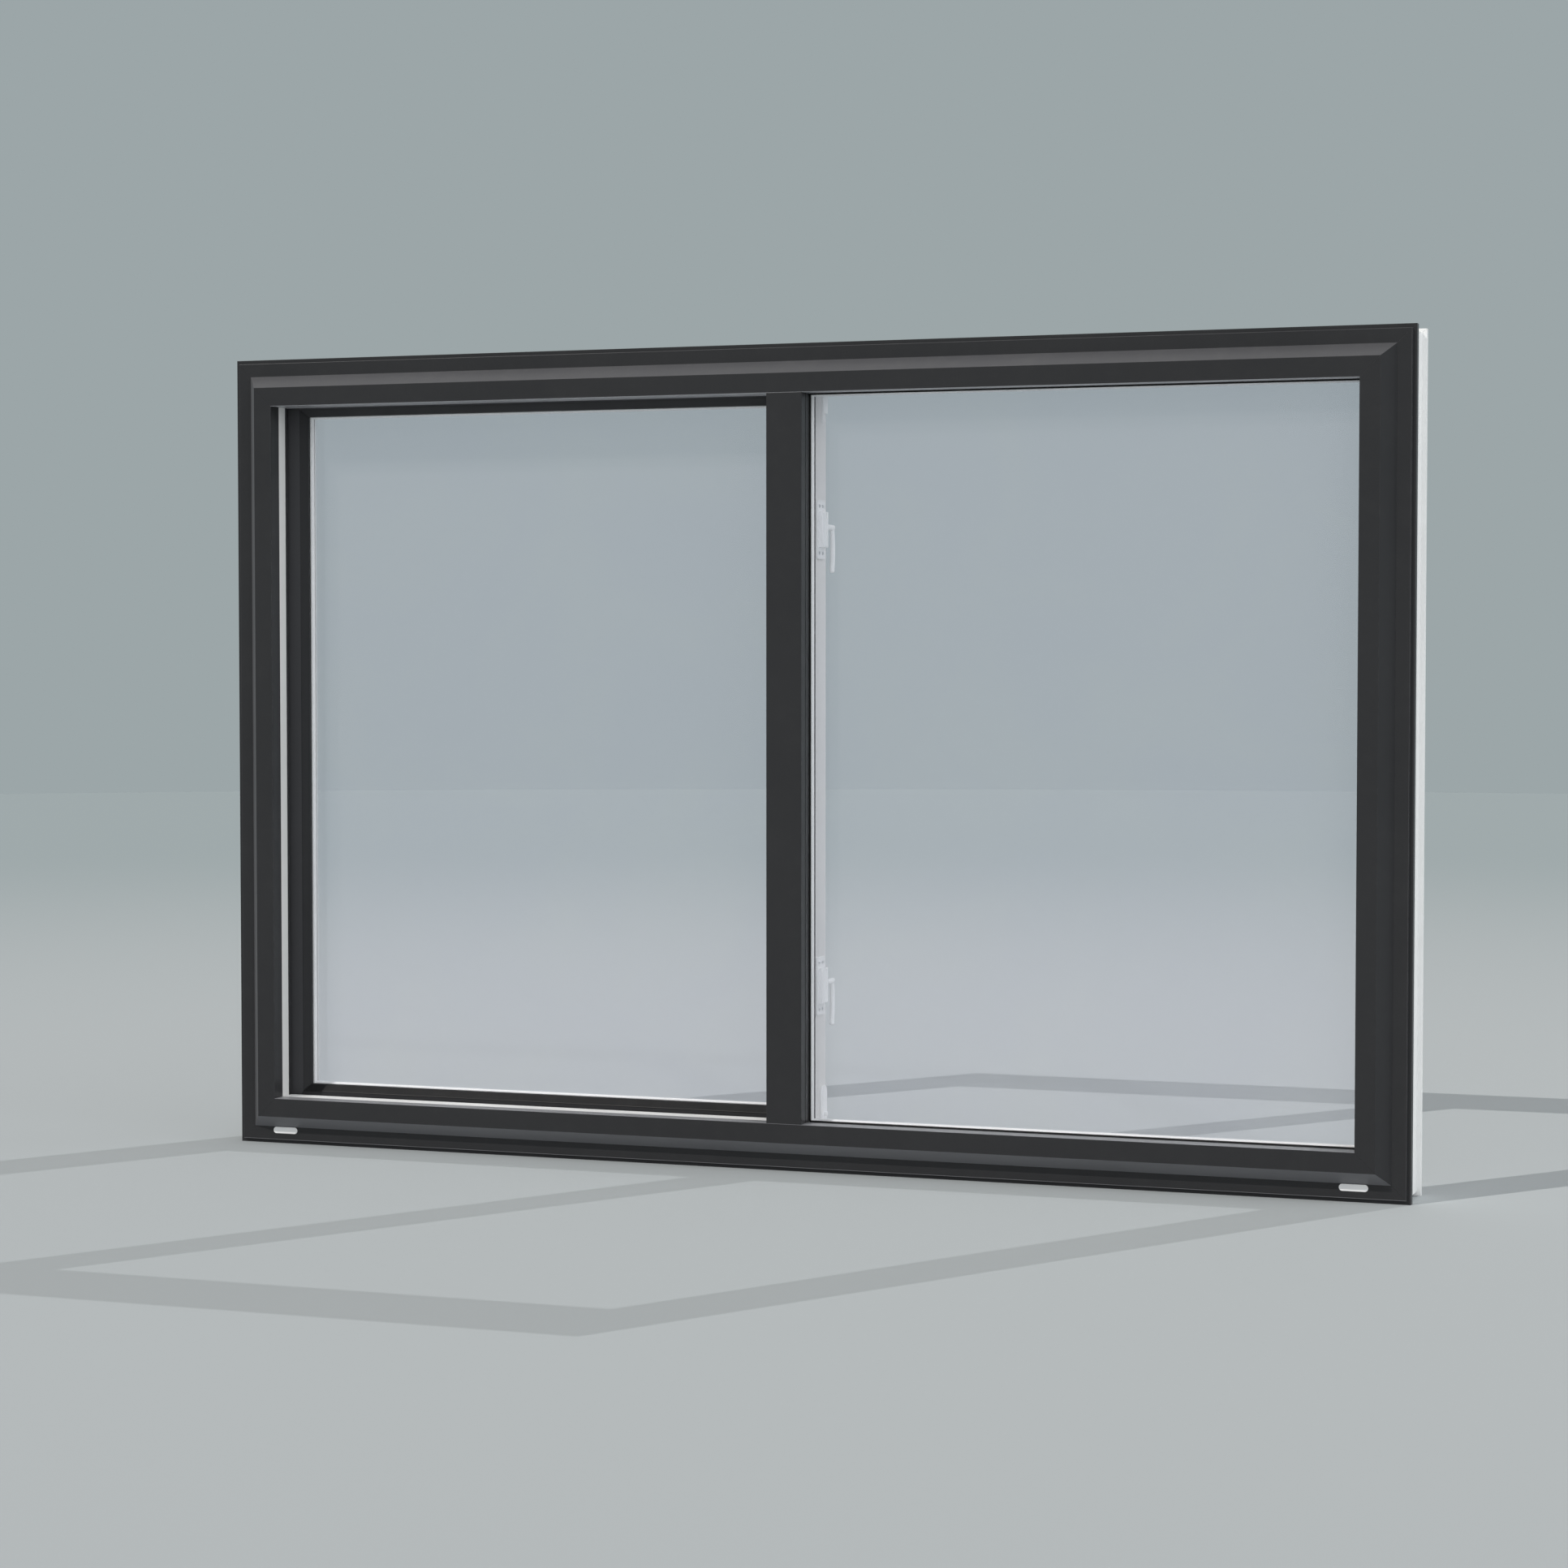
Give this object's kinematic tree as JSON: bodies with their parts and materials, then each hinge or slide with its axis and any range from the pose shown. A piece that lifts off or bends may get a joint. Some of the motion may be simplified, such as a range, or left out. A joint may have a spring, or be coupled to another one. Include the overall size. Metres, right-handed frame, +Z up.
{
  "type": "horizontal sliding window",
  "caption": "Horizontal sliding window with a dark bevelled trim, a white frame, fixed glass on the right and a latched sash that slides behind it.",
  "frame": {"origin": "bottom centre of the bounding box, on the level that the window stands on", "axes": "+X to the right seen from outside, +Y from the trim to the room, +Z up"},
  "size_m": [1.524, 0.1094, 1.016],
  "materials": {
    "dark_trim": "satin",
    "sash_vinyl": "satin",
    "white_vinyl": "satin",
    "glass": "polished",
    "spacer": "matte",
    "track_metal": "brushed",
    "seal_rubber": "matte",
    "brush": "matte",
    "latch": "gloss",
    "glide_nylon": "satin"
  },
  "bodies": {
    "window_frame": {"trim_head": "dark_trim", "trim_sill": "dark_trim", "trim_left": "dark_trim", "trim_right": "dark_trim", "frame_head": "white_vinyl", "frame_sill": "white_vinyl", "frame_left": "white_vinyl", "frame_right": "white_vinyl", "mullion_trim": "dark_trim", "mullion_post": "white_vinyl", "fixed_bead_head": "dark_trim", "fixed_bead_sill": "dark_trim", "fixed_bead_left": "dark_trim", "fixed_bead_right": "dark_trim", "fixed_pane_outer": "glass", "fixed_pane_inner": "glass", "fixed_spacer": "spacer", "liner_left": "white_vinyl", "liner_sill": "white_vinyl", "liner_head": "white_vinyl", "weep_cover_left": "white_vinyl", "weep_cover_right": "white_vinyl", "track_rail": "track_metal", "track_stop": "seal_rubber", "closing_seal": "seal_rubber", "brush_strips": "brush"},
    "sliding_sash": {"sash_top_rail": "sash_vinyl", "sash_bottom_rail": "sash_vinyl", "sash_left_stile": "sash_vinyl", "sash_meeting_stile": "sash_vinyl", "sash_bead_head": "white_vinyl", "sash_bead_sill": "white_vinyl", "sash_bead_left": "white_vinyl", "sash_bead_right": "white_vinyl", "sash_pane_outer": "glass", "sash_pane_inner": "glass", "sash_spacer": "spacer", "glide_left": "glide_nylon", "glide_right": "glide_nylon", "corner_block_top": "white_vinyl", "corner_block_bottom": "white_vinyl", "latch_body_upper": "latch", "latch_body_lower": "latch"},
    "upper_lever": {"latch_lever_upper": "latch"},
    "lower_lever": {"latch_lever_lower": "latch"}
  },
  "joints": [
    {"name": "sash_slide", "type": "slide", "parent": "window_frame", "child": "sliding_sash", "axis": [1, 0, 0], "range_m": [0, 0.66]},
    {"name": "upper_lever_turn", "type": "hinge", "parent": "sliding_sash", "child": "upper_lever", "pos_m": [0.0272, 0.02875, 0.7935], "axis": [0, 1, 0], "range_deg": [0, 90]},
    {"name": "lower_lever_turn", "type": "hinge", "parent": "sliding_sash", "child": "lower_lever", "pos_m": [0.0272, 0.02875, 0.2295], "axis": [0, 1, 0], "range_deg": [0, 90]}
  ]
}
